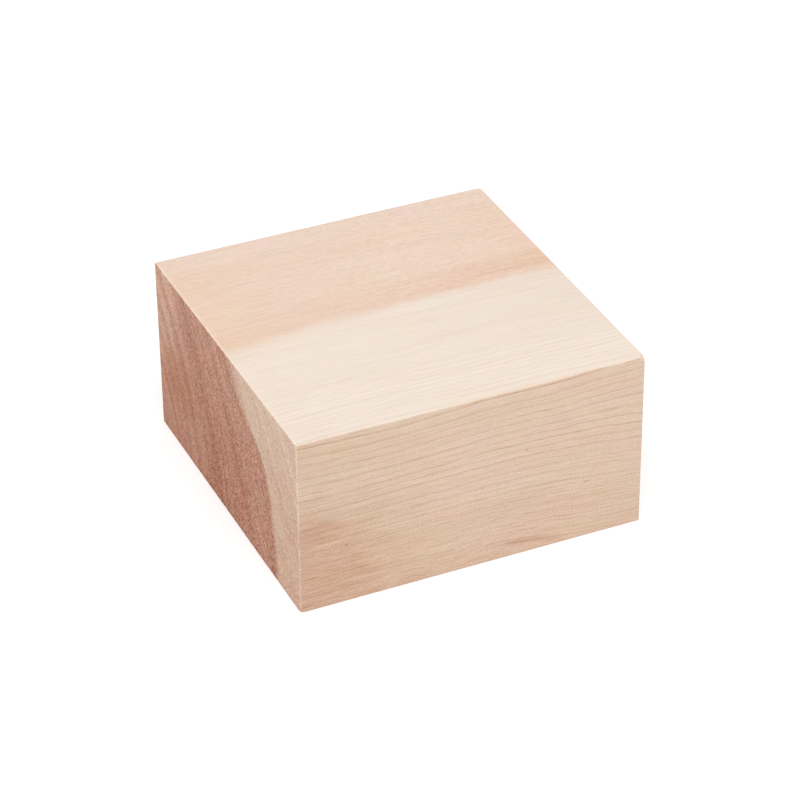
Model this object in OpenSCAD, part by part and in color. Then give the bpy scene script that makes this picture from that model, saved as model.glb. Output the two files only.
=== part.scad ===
// Wood block: one solid piece of pale timber, sawn across the grain at both
// ends, planed square on its four long faces and lightly sanded, so that each
// arris is a fine round and each corner is part of a ball.
//
// Millimetres. +X runs along the grain, +Y across it to the back, +Z up.
// The origin is the centre of the base, on which the block rests.

/* [Block] */
// Length along the grain, between the two end-grain faces
block_length = 95; // [40:0.5:240]
// Width across the grain
block_width = 96; // [40:0.5:240]
// Height from the base to the top
block_height = 50; // [20:0.5:120]

/* [Arrises] */
// Radius of the sanded edges and corners
arris_radius = 0.3; // [0.2:0.1:6]

/* [Hidden] */
// Steps in a full turn of a round
$fn = 48;
// Lengths of the straight arrises, which are also the sides of the flat faces
flat_length = block_length - 2 * arris_radius;
flat_width = block_width - 2 * arris_radius;
flat_height = block_height - 2 * arris_radius;

// Three crossed slabs, each of full size along one axis: the six flat faces
module flat_faces() {
  cube([block_length, flat_width, flat_height], center = true);
  cube([flat_length, block_width, flat_height], center = true);
  cube([flat_length, flat_width, block_height], center = true);
}

// Four parallel rounds along Z, at the corners of a rectangle side_x by side_y
module four_arrises(side_x, side_y, run) {
  for (x = [-side_x / 2, side_x / 2], y = [-side_y / 2, side_y / 2])
    translate([x, y, 0])
      cylinder(r = arris_radius, h = run, center = true);
}

// The twelve sanded edges: four upright, four along the grain, four across it
module arrises() {
  four_arrises(flat_length, flat_width, flat_height);
  rotate([0, 90, 0])
    four_arrises(flat_height, flat_width, flat_length);
  rotate([90, 0, 0])
    four_arrises(flat_length, flat_height, flat_width);
}

// The eight corners, where three arrises run together in part of a ball
module corners() {
  for (x = [-1, 1], y = [-1, 1], z = [-1, 1])
    translate([x * flat_length, y * flat_width, z * flat_height] / 2)
      sphere(r = arris_radius);
}

module block() {
  color([0.87, 0.73, 0.61])
    translate([0, 0, block_height / 2])
      union() {
        flat_faces();
        arrises();
        corners();
      }
}

block();
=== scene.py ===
import math

import bpy
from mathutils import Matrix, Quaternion, Vector


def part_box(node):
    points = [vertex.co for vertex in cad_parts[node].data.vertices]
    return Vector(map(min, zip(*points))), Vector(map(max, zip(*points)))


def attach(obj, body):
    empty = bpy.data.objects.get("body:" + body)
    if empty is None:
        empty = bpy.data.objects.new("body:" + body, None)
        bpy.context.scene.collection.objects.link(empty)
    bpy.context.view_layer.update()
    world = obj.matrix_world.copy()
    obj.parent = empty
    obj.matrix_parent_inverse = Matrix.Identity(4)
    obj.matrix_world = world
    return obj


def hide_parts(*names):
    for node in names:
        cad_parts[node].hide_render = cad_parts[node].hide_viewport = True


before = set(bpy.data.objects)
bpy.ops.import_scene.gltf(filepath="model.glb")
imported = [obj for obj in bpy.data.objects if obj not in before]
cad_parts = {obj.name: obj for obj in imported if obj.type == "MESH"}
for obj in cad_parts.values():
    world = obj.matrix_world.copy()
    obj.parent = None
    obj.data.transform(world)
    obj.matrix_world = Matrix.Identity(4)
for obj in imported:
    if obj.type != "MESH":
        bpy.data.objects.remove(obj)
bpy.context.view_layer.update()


# Block
# One solid piece of bare pale timber, sawn across the grain at both ends and planed on its four long faces.
# Its edges were eased by hand with sandpaper, so each arris is a fine round that varies a little on its way.
# Three corners are knocked blunter: the upper two at the right, and the lower one at the front left.
block_low, block_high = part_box("block")
block_size = block_high - block_low
arris_radius = 0.0003
arris_unevenness = 0.2
arris_wander = 0.016
corner_wear = 0.0006
corner_reach = 0.0015
back_corner_share = 0.4
lower_corner_share = 0.6
rows_to_a_side = 48
rows_in_an_arris = 4


class Field:
    """A value that varies over the block: one socket of a node tree. Sums with it add nodes to the tree."""

    def __init__(self, socket):
        self.socket = socket
        self.tree = socket.id_data

    def __add__(self, other):
        return worked("ADD", self, other)

    def __radd__(self, other):
        return worked("ADD", other, self)

    def __sub__(self, other):
        return worked("SUBTRACT", self, other)

    def __rsub__(self, other):
        return worked("SUBTRACT", other, self)

    def __mul__(self, other):
        return worked("MULTIPLY", self, other)

    def __truediv__(self, other):
        return worked("DIVIDE", self, other)


def join(value, socket):
    """Links a field to a socket, or sets the socket to a plain number, place, colour or material."""
    if isinstance(value, Field):
        value.tree.links.new(value.socket, socket)
    elif socket.type == "VECTOR" and isinstance(value, (int, float)):
        socket.default_value = (value, value, value)
    else:
        socket.default_value = value


def worked(operation, *values):
    """The field that a Math node, or for places and colours a Vector Math node, gives for these values."""
    fields = [value for value in values if isinstance(value, Field)]
    threefold = any(field.socket.type in ("VECTOR", "RGBA") for field in fields)
    step = fields[0].tree.nodes.new("ShaderNodeVectorMath" if threefold else "ShaderNodeMath")
    step.operation = operation
    for value, socket in zip(values, step.inputs):
        join(value, socket)
    return Field(step.outputs["Value" if operation == "LENGTH" or not threefold else "Vector"])


def parts(value):
    """The three numbers of a place."""
    step = value.tree.nodes.new("ShaderNodeSeparateXYZ")
    join(value, step.inputs[0])
    return [Field(socket) for socket in step.outputs]


def place(x, y, z):
    """One place made of three numbers, of which at least one varies."""
    tree = next(value.tree for value in (x, y, z) if isinstance(value, Field))
    step = tree.nodes.new("ShaderNodeCombineXYZ")
    for value, socket in zip((x, y, z), step.inputs):
        join(value, socket)
    return Field(step.outputs[0])


def ramp(value, start, end, low=0.0, high=1.0):
    """A smooth step from low to high while the value goes from start to end."""
    step = value.tree.nodes.new("ShaderNodeMapRange")
    step.interpolation_type = "SMOOTHSTEP"
    for socket, number in zip(step.inputs, (value, start, end, low, high)):
        join(number, socket)
    return Field(step.outputs[0])


def noise(spot, swing, detail=2.0, roughness=0.5):
    """Smooth random numbers from 0 to 1, which swing about once in each length that swing gives."""
    texture = spot.tree.nodes.new("ShaderNodeTexNoise")
    join(spot / swing, texture.inputs["Vector"])
    join(1.0, texture.inputs["Scale"])
    join(detail, texture.inputs["Detail"])
    join(roughness, texture.inputs["Roughness"])
    return Field(texture.outputs[0])


def open_group(name, kind, inputs, outputs):
    """A new node group with named sockets: (the tree, its inputs as fields by name, its output sockets)."""
    tree = bpy.data.node_groups.new(name, kind)
    for label, socket_type in inputs.items():
        tree.interface.new_socket(label, in_out="INPUT", socket_type=socket_type)
    for label, socket_type in outputs.items():
        tree.interface.new_socket(label, in_out="OUTPUT", socket_type=socket_type)
    entry = tree.nodes.new("NodeGroupInput")
    fields = {label: Field(entry.outputs[label]) for label in inputs}
    return tree, fields, tree.nodes.new("NodeGroupOutput").inputs


eased, given, eased_out = open_group(
    "eased_block",
    "GeometryNodeTree",
    {
        "Size": "NodeSocketVector",
        "Base Height": "NodeSocketFloat",
        "Arris Radius": "NodeSocketFloat",
        "Unevenness": "NodeSocketFloat",
        "Wander": "NodeSocketFloat",
        "Corner Wear": "NodeSocketFloat",
        "Corner Reach": "NodeSocketFloat",
        "Back Corner Share": "NodeSocketFloat",
        "Lower Corner Share": "NodeSocketFloat",
        "Rows": "NodeSocketInt",
        "Flat Share": "NodeSocketFloat",
        "Material": "NodeSocketMaterial",
    },
    {"Geometry": "NodeSocketGeometry"},
)
grid = eased.nodes.new("GeometryNodeMeshCube")
join((2.0, 2.0, 2.0), grid.inputs["Size"])
for side in ("Vertices X", "Vertices Y", "Vertices Z"):
    join(given["Rows"], grid.inputs[side])
spot = Field(eased.nodes.new("GeometryNodeInputPosition").outputs[0])
side_of_middle = worked("SIGN", spot)
reach = worked("ABSOLUTE", spot)

# Rows within the flat share lie on a flat face, closer together towards its edges. The rows past it turn the
# arris in equal steps, up to 45 degrees, where they meet those of the next face.
flat_reach = worked("MINIMUM", reach / given["Flat Share"], 1.0)
across_flat = worked("SINE", flat_reach * math.radians(90))
past_flat = worked("MAXIMUM", reach - given["Flat Share"], 0.0) / (1.0 - given["Flat Share"])
outward = side_of_middle * worked("NORMALIZE", worked("TANGENT", past_flat * math.radians(45)))
half_size = given["Size"] * 0.5

# Each arris swings about its radius, and the radius grows towards the three blunter corners.
swing_of_arris = noise(side_of_middle * across_flat * half_size, given["Wander"]) - 0.5
from_corner = worked("LENGTH", (1.0 - across_flat) * half_size)
right, back, up = parts(worked("MAXIMUM", side_of_middle, 0.0))
upper_right = right * up * (1.0 - back * (1.0 - given["Back Corner Share"]))
lower_left = (1.0 - right) * (1.0 - back) * (1.0 - up) * given["Lower Corner Share"]
knock = ramp(from_corner, given["Corner Reach"], 0.0) * (upper_right + lower_left)
uneven_radius = given["Arris Radius"] * (1.0 + swing_of_arris * given["Unevenness"] * 2.0)
radius = uneven_radius + given["Corner Wear"] * knock
eased_spot = side_of_middle * across_flat * (half_size - radius) + outward * radius
middle = place(0.0, 0.0, parts(half_size)[2] + given["Base Height"])
finishing = {
    "GeometryNodeSetPosition": {"Position": eased_spot + middle},
    "GeometryNodeSetShadeSmooth": {},
    "GeometryNodeRealizeInstances": {},
    "GeometryNodeSetMaterial": {"Material": given["Material"]},
}
made = grid.outputs["Mesh"]
for kind, values in finishing.items():
    step = eased.nodes.new(kind)
    eased.links.new(made, step.inputs["Geometry"])
    for label, value in values.items():
        join(value, step.inputs[label])
    made = step.outputs["Geometry"]
eased.links.new(made, eased_out["Geometry"])

# The wood was cut across the line between red-brown heartwood, at the back, and cream sapwood. Its figure
# runs through the solid, so that growth lines and heartwood carry on from one face to the next. A point in
# it is given in millimetres: along the grain from the left end, forward from the back, down from the top.
mm = 0.001
length, width, height = (side / mm for side in block_size)
point_sockets = {"Along": "NodeSocketFloat", "Forward": "NodeSocketFloat", "Down": "NodeSocketFloat"}


def open_wood_group(name, *outputs):
    """A new group of the wood, given a point in the block: (the tree, its inputs, its output sockets)."""
    tree, fields, sockets = open_group(
        name, "ShaderNodeTree", point_sockets, {label: "NodeSocketFloat" for label in outputs}
    )
    return tree, [fields[label] for label in point_sockets], sockets


block_places, given, places_out = open_group(
    "block_places", "ShaderNodeTree", {"Object": "NodeSocketVector"}, point_sockets
)
x, y, z = parts(given["Object"] / mm)
join(x + length / 2, places_out["Along"])
join(width / 2 - y, places_out["Forward"])
join(height - z, places_out["Down"])

# Faces: which one a point lies on, from how near it is to the ends and to the top. Along the arrises of the
# ends lies a painted highlight, partly also the pale tips of fibres left by sandpaper, in uneven bands that
# are wider on the top, narrower on the end itself, and clearest at the left and high up, where the lamp
# falls.
end_skin = 0.18
top_skin = 0.045
highlight_band = 0.45
wider_on_top = 0.4
narrower_on_end = 0.25
sanding_swing = 6.0
faces, (along, forward, down), faces_out = open_wood_group("faces", "End", "Top", "Arris")
from_end = length / 2 - worked("ABSOLUTE", along - length / 2)
from_side = width / 2 - worked("ABSOLUTE", forward - width / 2)
from_flat = height / 2 - worked("ABSOLUTE", down - height / 2)
on_top = ramp(down, top_skin, 0.0)
join(ramp(from_end, end_skin, end_skin / 3), faces_out["End"])
join(on_top, faces_out["Top"])
from_long_arris = worked("MINIMUM", from_side, from_flat + narrower_on_end)
from_arris = worked("MAXIMUM", from_end, from_long_arris) - on_top * wider_on_top
sanded = ramp(noise(place(along, forward, down), sanding_swing), 0.3, 0.6, on_top * 0.5, 1.0)
left_and_high = ramp(along, 60.0, 90.0, 1.0, 0.25) * ramp(down, 28.0, height, 1.0, 0.6)
# The Arris output carries this painted highlight band.
join(ramp(from_arris, highlight_band, highlight_band / 4) * sanded * left_and_high, faces_out["Arris"])


# Growth lines: each year's growth ends in a thin band of dense late wood. The lines lie nearly level on the
# front and slope on the ends, where they steepen towards the base, and they rise and fall along the grain.
# Inward counts across them from the upper front arris, and around follows them over the ends.
def course(value, points):
    """A smooth line through points that are given, level before the first and after the last."""
    step = value.tree.nodes.new("ShaderNodeFloatCurve")
    step.mapping.use_clip = False
    step.mapping.extend = "HORIZONTAL"
    spots = step.mapping.curves[0].points
    spots[0].location = points[0]
    spots[1].location = points[-1]
    for point in points[1:-1]:
        spots.new(*point)
    step.mapping.update()
    join(value, step.inputs["Value"])
    return Field(step.outputs[0])


def crest(value, start, full, fading, end):
    """Rises smoothly from 0 at start to 1 at full, holds until fading, and falls to 0 at end."""
    return ramp(value, start, full) * ramp(value, end, fading)


line_pitch = 2.38
first_line = 0.95
line_slope = 1.15
steepening = 0.45
swell = 10.0
wobble = 1.3
year_unevenness = 0.8
fine_lines_in_a_year = 2.7
ring_course = (0.57, 0.82)
line_start = 0.66
line_full = 0.93
line_later_below = 0.12
line_fainter_below = 0.55
fine_line_reach = (0.3, 0.8, 0.8, 1.0)
early_reach = (0.0, 0.04, 0.04, 0.3)
late_reach = (0.3, 0.9, 0.9, 1.0)

# Noise is weak where a place in it is a whole number, so shifts keep the left end, at 0, away from there. A
# slice is the level at which a noise is cut, and a stride sets the noise of one year apart from the next.
wobble_shift = 3.2
band_shift = 24.0
pore_shift = 1.2
age_slice = 3.0
patch_slice = 5.0
firm_slice = 7.0
fine_slice = 21.0
band_slice = 11.4
patch_stride = 3.7
firm_stride = 5.3
growth, (along, forward, down), growth_out = open_wood_group(
    "growth_lines", "Line", "Fine Line", "Early", "Late", "Band", "Ring Line", "Pore"
)
share_along = along / length
share_down = down / height
swell_at_top = course(
    share_along,
    ((0, 0.5), (0.15, 0.44), (0.27, 0.41), (0.42, 0.47), (0.57, 0.54), (0.74, 0.51), (0.84, 0.58), (1, 0.6)),
)
swell_halfway = course(
    share_along, ((0, 0.5), (0.15, 0.5), (0.29, 0.54), (0.42, 0.55), (0.68, 0.52), (0.84, 0.38), (1, 0.19))
)
swell_at_base = course(
    share_along, ((0, 0.5), (0.29, 0.57), (0.42, 0.47), (0.55, 0.55), (0.68, 0.44), (0.84, 0.27), (1, 0.2))
)
upper_swell = swell_at_top + (swell_halfway - swell_at_top) * ramp(share_down, 0.05, 0.5)
rise = (upper_swell + (swell_at_base - upper_swell) * ramp(share_down, 0.5, 0.9) - 0.5) * swell
to_front = width - forward
bend = course(to_front / width, ((0, 0), (0.3, 0.6), (0.6, 1), (0.75, 0.75), (0.92, 0.25), (1, 0.15)))
sag = down * share_down * bend * steepening
true_inward = down + rise - sag + to_front * line_slope
around = forward * ring_course[0] + down * ring_course[1]
wobble_spot = place(along + wobble_shift, true_inward, around)
wobbling = noise(wobble_spot, (8.0, 3.5, 14.0), detail=4.0, roughness=0.6)
inward = true_inward + (wobbling - 0.5) * wobble
wide_and_narrow = course(
    inward / height,
    (
        (0, 0.5), (0.1, 0.59), (0.22, 0.51), (0.34, 0.45), (0.55, 0.3),
        (0.68, 0.46), (0.78, 0.4), (0.94, 0.56), (1, 0.5),
    ),
)
even_age = (inward - first_line - (wide_and_narrow - 0.5) * swell) / line_pitch
long_and_short = noise(place(even_age, 0.0, age_slice), (3.0, 1.0, 1.0), detail=1.0)
age = even_age + (long_and_short - 0.5) * year_unevenness
time_of_year = worked("FRACT", age)
year = worked("FLOOR", age)
patch_spot = place(along, year * patch_stride, patch_slice)
patches = noise(patch_spot, (8.0, 1.0, 1.0), detail=4.0, roughness=0.65)
patchy = ramp(patches, 0.25, 0.7, 0.4, 1.15)
firmness = noise(place(year * firm_stride, 0.0, firm_slice), 1.0, detail=0.0)
firm = ramp(firmness, 0.25, 0.75, 0.45, 1.0)
lower_half = ramp(share_down, 0.42, 0.64)
line_here = line_start + lower_half * line_later_below
dense_line = crest(time_of_year, line_here, line_full, line_full, 1.0)
fine_line = crest(worked("FRACT", age * fine_lines_in_a_year), *fine_line_reach)
fine_shown = ramp(noise(place(along, inward, fine_slice), (7.0, 1.5, 1.0)), 0.3, 0.65)
join(dense_line * firm * patchy * (1.0 - lower_half * line_fainter_below), growth_out["Line"])
join(fine_line * fine_shown, growth_out["Fine Line"])
join(crest(time_of_year, *early_reach) * firm * patchy, growth_out["Early"])
join(crest(time_of_year, *late_reach) * firm, growth_out["Late"])
growth_noises = {
    "Band": (place(along + band_shift, inward, band_slice), (60.0, 4.5, 1.0), 3.0, 0.85),
    "Ring Line": (place(along + band_shift, inward, around), (60.0, 1.0, 12.0), 2.0, 0.6),
    "Pore": (place(along + pore_shift, inward, around), (3.0, 1.1, 0.55), 1.0, 0.9),
}
for label, (spot, swing, detail, roughness) in growth_noises.items():
    join(noise(spot, swing, detail, roughness), growth_out[label])


# Heartwood: it fills the back, and reaches further forward lower down. It is darker and more orange in a rim
# behind its edge, most of all towards the right end, and more golden near both ends of the top. The ends
# deepen downwards, and the left one has a pale pocket high up at the back, over a more orange patch.
def oval(first, second, middle, half):
    """0 in the middle of an oval and 1 at its edge, as the square of the distance."""
    off_first = (first - middle[0]) / half[0]
    off_second = (second - middle[1]) / half[1]
    return off_first * off_first + off_second * off_second


drawn_back = 4.75
drawn_back_over = 21.0
edge_waver = 4.0
waver_shift = 1.8
rim_reach = (-1.0, 4.0, 6.0, 15.0)
edge_reach = (-22.0, 1.5, 2.5, 6.0)
pocket_slant = 0.4
orange_middle = (16.0, 29.0)
orange_half = (17.0, 12.0)
heart, (along, forward, down), heart_out = open_wood_group(
    "heartwood", "Heart", "Rim", "Edge", "Deep", "Pocket", "Orange", "Golden"
)
edge_on_end = course(
    down / height,
    ((0, 0.535), (0.19, 0.615), (0.27, 0.69), (0.36, 0.77), (0.5, 0.803), (0.65, 0.822), (1, 0.845)),
)
edge_inside = edge_on_end * width - (1.0 - worked("EXPONENT", along / -drawn_back_over)) * drawn_back
wavering = noise(place(along + waver_shift, forward, down), (18.0, 9.0, 9.0), detail=4.0, roughness=0.6)
behind_edge = edge_inside + (wavering - 0.5) * edge_waver - forward
sharper_to_right = course(along / length, ((0, 0.32), (0.15, 0.32), (0.45, 0.2), (1, 0.13)))
softness = sharper_to_right * ramp(down, 4.0, 22.0, 15.0, 5.0)
join(ramp(behind_edge / softness, -1.0, 1.0), heart_out["Heart"])
join(crest(behind_edge, *rim_reach) * ramp(along, 40.0, length, 0.35, 1.0), heart_out["Rim"])
join(crest(behind_edge, *edge_reach), heart_out["Edge"])
deep = ramp(behind_edge, 4.0, 26.0) * ramp(down, 0.0, 35.0, 0.4, 1.0)
join(deep * ramp(forward, 12.0, 50.0, 0.3, 1.0), heart_out["Deep"])
at_left = ramp(along, 14.0, 0.0)
pocket = ramp(forward + down * pocket_slant, 26.0, 8.0) * ramp(down, 38.0, 26.0)
join(at_left * pocket, heart_out["Pocket"])
join(at_left * ramp(oval(forward, down, orange_middle, orange_half), 1.0, 0.1), heart_out["Orange"])
near_ends = ramp(along, 26.0, 0.0) + ramp(along, 78.0, length, 0.0, 0.6)
golden = near_ends * ramp(forward, 2.0, 16.0, 0.3, 1.0)
join(golden - ramp(forward, 16.0, 0.0) * 0.45, heart_out["Golden"])

# Stain: the red of the heartwood has bled into the left of the front, most of all in two lined patches, and
# thinly along the base, where one torn streak falls to the right. Patches and streak are given by their
# middles, along and down, and by half their lengths and heights.
stained_patches = (((4.5, 27.5), (9.0, 4.5)), ((9.0, 41.5), (13.0, 5.0)))
streak_middle = (65.0, 47.2)
streak_half = (12.0, 1.8)
streak_fall = 0.1833
stain, (along, forward, down), stain_out = open_wood_group("stain", "Stain")
lined = ramp(noise(place(along, forward, down), (7.0, 0.6, 0.6)), 0.3, 0.7, 0.25, 0.7)
bled = ramp(along, 46.0, -8.0) * ramp(down, 12.0, 30.0, 0.3, 0.8)
for patch_middle, patch_half in stained_patches:
    bled = bled + ramp(oval(along, down, patch_middle, patch_half), 1.2, 0.0) * lined
along_base = ramp(down, 20.0, 44.0) * ramp(along, 60.0, 90.0, 0.27, 0.2)
level = down - (along - streak_middle[0]) * streak_fall
torn = ramp(noise(place(along, forward, level - streak_middle[1]), (14.0, 0.4, 0.4)), 0.35, 0.6, 0.1, 0.8)
streak = ramp(oval(along, level, streak_middle, streak_half), 1.0, 0.0) * torn
blotches = noise(place(along, forward, down), (9.0, 1.6, 1.6), detail=3.0, roughness=0.6)
stained = worked("MINIMUM", bled + along_base + streak, 1.0) * ramp(blotches, 0.3, 0.7, 0.55, 1.3)
join(stained * ramp(forward, 70.0, 92.0), stain_out["Stain"])

# Marks: three specks and two short lines on the front, where open pores have taken up dirt. Each is given by
# its middle, along and down, and by half its length and height.
dirty_pores = (
    ((62.2, 18.8), (0.5, 0.4)),
    ((79.3, 33.1), (1.1, 0.35)),
    ((12.7, 32.8), (0.5, 0.4)),
    ((3.5, 40.4), (2.8, 0.22)),
    ((5.0, 25.3), (6.0, 0.25)),
)
marks, (along, forward, down), marks_out = open_wood_group("marks", "Mark")
dirt = 0.0
for pore_middle, pore_half in dirty_pores:
    dirt = worked("MAXIMUM", ramp(oval(along, down, pore_middle, pore_half), 1.3, 0.2), dirt)
join(ramp(forward, width - 1.0, width - 0.4) * dirt, marks_out["Mark"])

# Fibres: fine and long streaks along the grain, short flecks between them, the nap that sandpaper leaves,
# and slow drifts of the hue, pinker here and more golden there. Each is a noise, with its swing along,
# forward and down, its detail and its roughness. The golden drift is like the pink one, from further along.
fibre_noises = {
    "Streak": ((12.0, 0.5, 0.5), 4.0, 0.65),
    "Long Streak": ((40.0, 1.6, 1.6), 2.0, 0.6),
    "Fleck": ((2.2, 1.0, 0.8), 1.0, 0.8),
    "Nap": ((0.6, 0.6, 0.6), 1.0, 0.9),
    "Pink": ((20.0, 9.0, 9.0), 4.0, 0.7),
    "Gold": ((20.0, 9.0, 9.0), 4.0, 0.7),
}
gold_shift = 188.0
fibres, (along, forward, down), fibres_out = open_wood_group("fibres", *fibre_noises)
for label, (swing, detail, roughness) in fibre_noises.items():
    along_here = along + gold_shift if label == "Gold" else along
    join(noise(place(along_here, forward, down), swing, detail, roughness), fibres_out[label])

wood = bpy.data.materials.new("bare_sanded_wood")
wood.use_nodes = True
paint = wood.node_tree
surface = paint.nodes["Principled BSDF"]


def group_in_wood(tree, **values):
    """Places a group in the wood's material: its outputs as fields by name."""
    placed = paint.nodes.new("ShaderNodeGroup")
    placed.node_tree = tree
    for label, value in values.items():
        join(value, placed.inputs[label])
    return {socket.name: Field(socket) for socket in placed.outputs}


object_place = Field(paint.nodes.new("ShaderNodeTexCoord").outputs["Object"])
point = group_in_wood(block_places, Object=object_place)
on = group_in_wood(faces, **point)
lines = group_in_wood(growth, **point)
core = group_in_wood(heart, **point)
bleed = group_in_wood(stain, **point)
specks = group_in_wood(marks, **point)
fibre = group_in_wood(fibres, **point)


def mixed(share, first, second, blend="MIX"):
    """The first colour, and where share is 1 the second, or for MULTIPLY the first tinted by the second."""
    step = share.tree.nodes.new("ShaderNodeMix")
    step.data_type = "RGBA"
    step.blend_type = blend
    sockets = {socket.identifier: socket for socket in step.inputs}
    join(share, sockets["Factor_Float"])
    join(first, sockets["A_Color"])
    join(second, sockets["B_Color"])
    return Field(next(socket for socket in step.outputs if socket.identifier == "Result_Color"))


def colour(red, green, blue):
    """A colour as it looks, in steps from 0 to 255, in the linear numbers that a shader takes."""
    shares = (step / 255 for step in (red, green, blue))
    return (*(s / 12.92 if s <= 0.04045 else ((s + 0.055) / 1.055) ** 2.4 for s in shares), 1.0)


# Colours of the ground, on the top, on the other long faces and on the ends, then what tints it, and how
# much less a tint or a drift of the hue shows on the ends or the top. The top's colours are painted paler
# and greyer than those of the long faces, as painted light and sheen from the lamp above.
sap_top_painted_light = colour(243, 228, 213)
sap_side = colour(233, 206, 183)
sap_end = colour(238, 206, 183)
heart_top_painted_light = colour(238, 211, 192)
heart_side = colour(230, 189, 163)
heart_end = colour(207, 155, 132)
rim_tint = (0.955, 0.88, 0.82, 1.0)
deep_tint = (0.88, 0.785, 0.73, 1.0)
pocket_tint = (1.18, 1.34, 1.36, 1.0)
orange_tint = (0.93, 0.84, 0.77, 1.0)
stain_tint = (0.82, 0.695, 0.622, 1.0)
rim_off_ends = 0.6
stain_off_ends = 0.5
stain_off_top = 0.8
drift_off_sap_top = 0.5
pink_drift = 0.09
gold_drift = 0.16
golden_off_green = 0.03
golden_off_blue = 0.08
# Painted highlight: the end arrises are paled towards this colour, partly also as sanded fibre tips.
painted_arris_highlight = colour(252, 237, 222)
arris_highlight_strength = 0.5
sapwood = mixed(on["End"], mixed(on["Top"], sap_side, sap_top_painted_light), sap_end)
heartwood = mixed(on["End"], mixed(on["Top"], heart_side, heart_top_painted_light), heart_end)
ground = mixed(core["Heart"], sapwood, heartwood)
tints = (
    (core["Rim"] * (1.0 - on["End"] * rim_off_ends), rim_tint),
    (core["Deep"] * on["End"], deep_tint),
    (core["Pocket"] * on["End"], pocket_tint),
    (core["Orange"] * on["End"], orange_tint),
    (bleed["Stain"] * (1.0 - on["End"] * stain_off_ends - on["Top"] * stain_off_top), stain_tint),
)
for share, tint in tints:
    ground = mixed(share, ground, tint, "MULTIPLY")
sap_of_top = on["Top"] * (1.0 - core["Heart"])
hue_swing = 1.0 + on["End"] * core["Heart"] - sap_of_top * drift_off_sap_top
pinker = (fibre["Pink"] - 0.5) * hue_swing * pink_drift
more_golden = (fibre["Gold"] - 0.5) * hue_swing * gold_drift
golden_heart = core["Golden"] * core["Heart"] * on["Top"]
ground = ground * place(
    1.0 + pinker,
    1.0 - pinker - golden_heart * golden_off_green,
    1.0 - more_golden - golden_heart * golden_off_blue,
)
ground = mixed(on["Arris"] * arris_highlight_strength, ground, painted_arris_highlight)

# Whatever is darker or paler than the ground is so by one brown shade, which takes most from the blue. Each
# part of the figure is listed with its strength in each region of the wood, and overlapping regions add up.
stain_roughening = 0.3
everywhere = 1.0
on_long = 1.0 - on["End"]
heart_of_top = on["Top"] * core["Heart"] * on_long
regions = {
    "long": on_long,
    "low": ramp(point["Down"], 18.0, 34.0) * on_long,
    "top": on["Top"] * on_long,
    "faint top": on["Top"] * ramp(point["Forward"], 84.0, 70.0) * on_long,
    "top heart": heart_of_top,
    "flecked heart": heart_of_top * ramp(point["Along"], 15.0, 60.0),
    "side heart": core["Heart"] * (1.0 - on["Top"]) * on_long,
    "rim": core["Rim"] * on_long,
    "end": on["End"],
    "end heart": on["End"] * core["Heart"],
}
rougher_in_stain = 1.0 + bleed["Stain"] * stain_roughening
pore_growth = ramp(point["Forward"], 5.0, 35.0, 0.75, 1.1)
share_down = point["Down"] / height
# Painted shade: the sapwood of the top darkens towards the back and the right, as the lamp's light falls
# off.
top_sap_painted_falloff = (1.0 - core["Heart"]) * ramp(point["Along"], 20.0, 90.0, 0.04, 0.1)
figure = (
    (lines["Line"], {"long": 0.56, "top": -0.25, "faint top": -0.26, "side heart": -0.2}),
    (lines["Fine Line"] * rougher_in_stain, {"long": 0.24, "low": 0.05, "top": -0.16, "faint top": -0.05}),
    (lines["Early"], {"long": -0.06, "top": 0.04}),
    (lines["Late"], {"end": 0.2, "end heart": 0.1}),
    (
        lines["Band"] - 0.5,
        {"long": 0.28, "low": 0.12, "top": -0.08, "top heart": 0.08, "end": 1.18, "end heart": 1.6},
    ),
    (lines["Ring Line"] - 0.5, {"end": 0.5, "end heart": 0.7}),
    ((lines["Pore"] - 0.5) * pore_growth, {"end": 1.8, "end heart": 2.3}),
    (
        (fibre["Streak"] - 0.5) * rougher_in_stain,
        {"long": 0.34, "low": -0.1, "top heart": 0.44, "flecked heart": -0.2},
    ),
    (fibre["Long Streak"] - 0.5, {"long": 0.16, "top": 0.1, "rim": 0.3}),
    (fibre["Fleck"] - 0.5, {"long": 0.24, "top": -0.09, "top heart": 0.14, "flecked heart": 0.3}),
    (fibre["Nap"] - 0.5, {"long": 0.57, "low": 0.3, "top": -0.42, "top heart": 0.2}),
    (specks["Mark"], {"long": 0.55, "end": 0.55}),
    (top_sap_painted_falloff, {"faint top": 1.0}),
    (everywhere, {"low": 0.02}),
    # Painted shade: the long faces darken near the base, and the ends at the base and towards it, where the
    # floor's shadow falls.
    (ramp(point["Down"], height - 7.0, height), {"long": 0.1}),
    (ramp(point["Down"], height - 1.4, height - 0.2), {"end": 0.4}),
    (share_down - 0.5, {"end": 0.08, "end heart": 0.12}),
    (core["Edge"], {"end": 0.32}),
    (core["Edge"] * share_down, {"end": -0.3}),
)
shade = 0.0
for part_of_figure, strengths in figure:
    strength = 0.0
    for region, number in strengths.items():
        strength = regions[region] * number + strength
    shade = strength * part_of_figure + shade
brown_off_red = 0.34
brown_off_green = 0.5
brown_off_blue = 0.6
brown = place(1.0 - shade * brown_off_red, 1.0 - shade * brown_off_green, 1.0 - shade * brown_off_blue)
join(ground * brown, surface.inputs["Base Color"])

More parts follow.
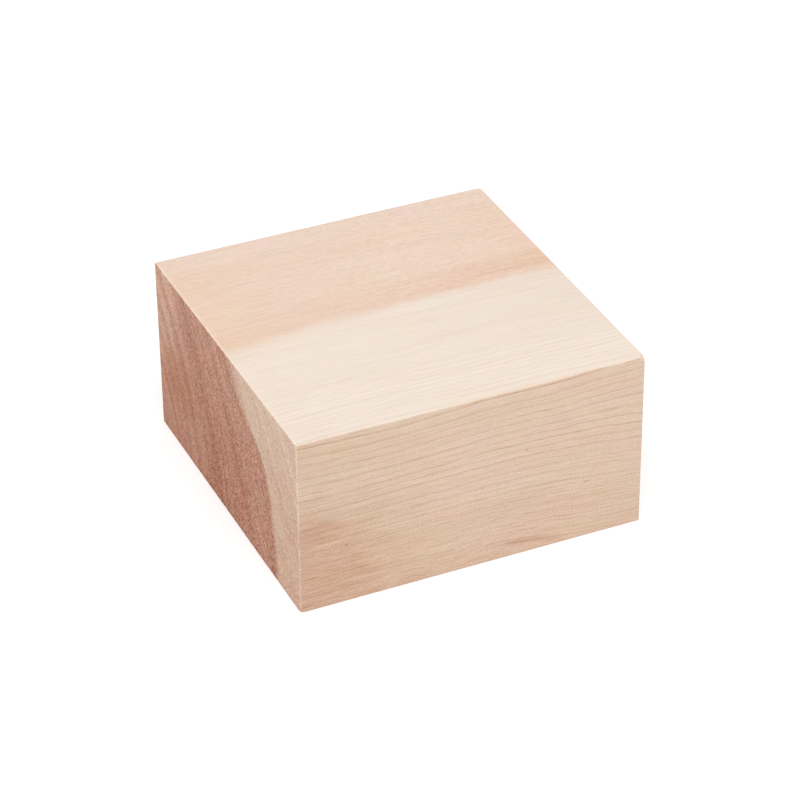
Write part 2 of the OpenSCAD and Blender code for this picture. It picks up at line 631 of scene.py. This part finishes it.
# Sheen and relief: the long faces are sanded smooth, a little glossier in the dense late wood, and raised in
# streaks and nap. The ends are rougher, with open pores.
sanded_roughness = 0.6
end_roughness = 0.8
streak_roughness = 0.2
line_gloss = 0.08
wood_specular = 0.4
roughness = on["End"] * (end_roughness - sanded_roughness) + sanded_roughness
roughness = roughness + (fibre["Streak"] - 0.5) * streak_roughness - lines["Line"] * line_gloss
join(roughness, surface.inputs["Roughness"])
join(wood_specular, surface.inputs["Specular IOR Level"])
relief_strength = 0.35
relief_depth = 0.00012
nap_relief = 0.5
line_relief = 0.3
relief = paint.nodes.new("ShaderNodeBump")
join(relief_strength, relief.inputs["Strength"])
join(relief_depth, relief.inputs["Distance"])
long_relief = fibre["Streak"] + fibre["Nap"] * nap_relief + lines["Line"] * line_relief
join(long_relief * on_long + lines["Pore"] * on["End"], relief.inputs["Height"])
join(Field(relief.outputs[0]), surface.inputs["Normal"])

block = bpy.data.objects.new("wood_block", bpy.data.meshes.new("wood_block_blank"))
bpy.context.scene.collection.objects.link(block)
shaper = block.modifiers.new("eased_block", "NODES")
shaper.node_group = eased
block_inputs = {
    "Size": block_size,
    "Base Height": block_low.z,
    "Arris Radius": arris_radius,
    "Unevenness": arris_unevenness,
    "Wander": arris_wander,
    "Corner Wear": corner_wear,
    "Corner Reach": corner_reach,
    "Back Corner Share": back_corner_share,
    "Lower Corner Share": lower_corner_share,
    "Rows": rows_to_a_side + 1,
    "Flat Share": 1 - 2 * rows_in_an_arris / rows_to_a_side,
    "Material": wood,
}
for item in eased.interface.items_tree:
    if item.in_out == "INPUT":
        shaper[item.identifier] = block_inputs[item.name]
block.data = bpy.data.meshes.new_from_object(block.evaluated_get(bpy.context.evaluated_depsgraph_get()))
block.modifiers.clear()
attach(block, "root")
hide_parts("block")


# Floor
# A wide sheet of white paper that the block lies on. The camera sees it lifted to white, and it keeps the
# block's shadow. It lies a hair lower than the base, so that the two faces don't fall together.
floor_side = 6.0
floor_drop = 0.00005
paper_white = (0.8, 0.8, 0.8, 1.0)
paper_lift = 0.38
half_floor = floor_side / 2
floor_corners = [
    (x * half_floor, y * half_floor, -floor_drop) for x, y in ((-1, -1), (1, -1), (1, 1), (-1, 1))
]
floor_mesh = bpy.data.meshes.new("floor")
floor_mesh.from_pydata(floor_corners, [], [(0, 1, 2, 3)])
floor = bpy.data.objects.new("floor", floor_mesh)
bpy.context.scene.collection.objects.link(floor)
paper = bpy.data.materials.new("white_paper")
paper.use_nodes = True
sheet = paper.node_tree
sheet.nodes.clear()


def seen_in(tree):
    """1 on rays from the camera, mirrored or through glass too, and 0 on rays that only light the block."""
    path = tree.nodes.new("ShaderNodeLightPath")
    camera_ray, glossy_ray, glass_ray = (
        Field(path.outputs[f"Is {ray} Ray"]) for ray in ("Camera", "Glossy", "Transmission")
    )
    return worked("MAXIMUM", worked("MAXIMUM", camera_ray, glossy_ray), glass_ray)


matt = sheet.nodes.new("ShaderNodeBsdfDiffuse")
join(paper_white, matt.inputs["Color"])
glow = sheet.nodes.new("ShaderNodeEmission")
join(seen_in(sheet) * paper_lift, glow.inputs["Strength"])
both = sheet.nodes.new("ShaderNodeAddShader")
sheet.links.new(matt.outputs[0], both.inputs[0])
sheet.links.new(glow.outputs[0], both.inputs[1])
paper_out = sheet.nodes.new("ShaderNodeOutputMaterial")
sheet.links.new(both.outputs[0], paper_out.inputs["Surface"])
floor_mesh.materials.append(paper)


# Light
# A white room all round, which the camera sees as plain white, and one large soft lamp. The lamp hangs above
# and in front of the block, a little to its left, and faces it.
room_light = 0.55
room_white = (1.0, 1.0, 1.0, 1.0)
lamp_side = 1.2
lamp_watts = 17.0
lamp_place = Vector((-0.3, -0.8, 1.5))
room = bpy.data.worlds.new("white_room")
room.use_nodes = True
bpy.context.scene.world = room
walls = room.node_tree.nodes["Background"]
join(room_white, walls.inputs["Color"])
join(seen_in(room.node_tree) * (1.0 - room_light) + room_light, walls.inputs["Strength"])

lamp = bpy.data.lights.new("soft_lamp", "AREA")
lamp.size = lamp_side
lamp.energy = lamp_watts
soft_lamp = bpy.data.objects.new("soft_lamp", lamp)
soft_lamp.location = lamp_place
soft_lamp.rotation_euler = (-lamp_place).to_track_quat("-Z", "Y").to_euler()
bpy.context.scene.collection.objects.link(soft_lamp)
bpy.context.scene.view_settings.view_transform = "Standard"


# Camera
# It stands to the left of the front and looks down on the block from about 33 degrees, with a long lens. It
# is turned a little about its own line of sight.
camera_place = Vector((-0.28258, -0.63755, 0.47564))
camera_aim = Vector((0.00068, -0.00183, 0.02285))
camera_roll = math.radians(-0.59)
camera_lens = 143.1
lens = bpy.data.cameras.new("camera")
lens.lens = camera_lens
camera = bpy.data.objects.new("camera", lens)
camera.location = camera_place
line_of_sight = (camera_aim - camera_place).to_track_quat("-Z", "Y")
camera.rotation_euler = (line_of_sight @ Quaternion((0, 0, 1), camera_roll)).to_euler()
bpy.context.scene.collection.objects.link(camera)
bpy.context.scene.camera = camera
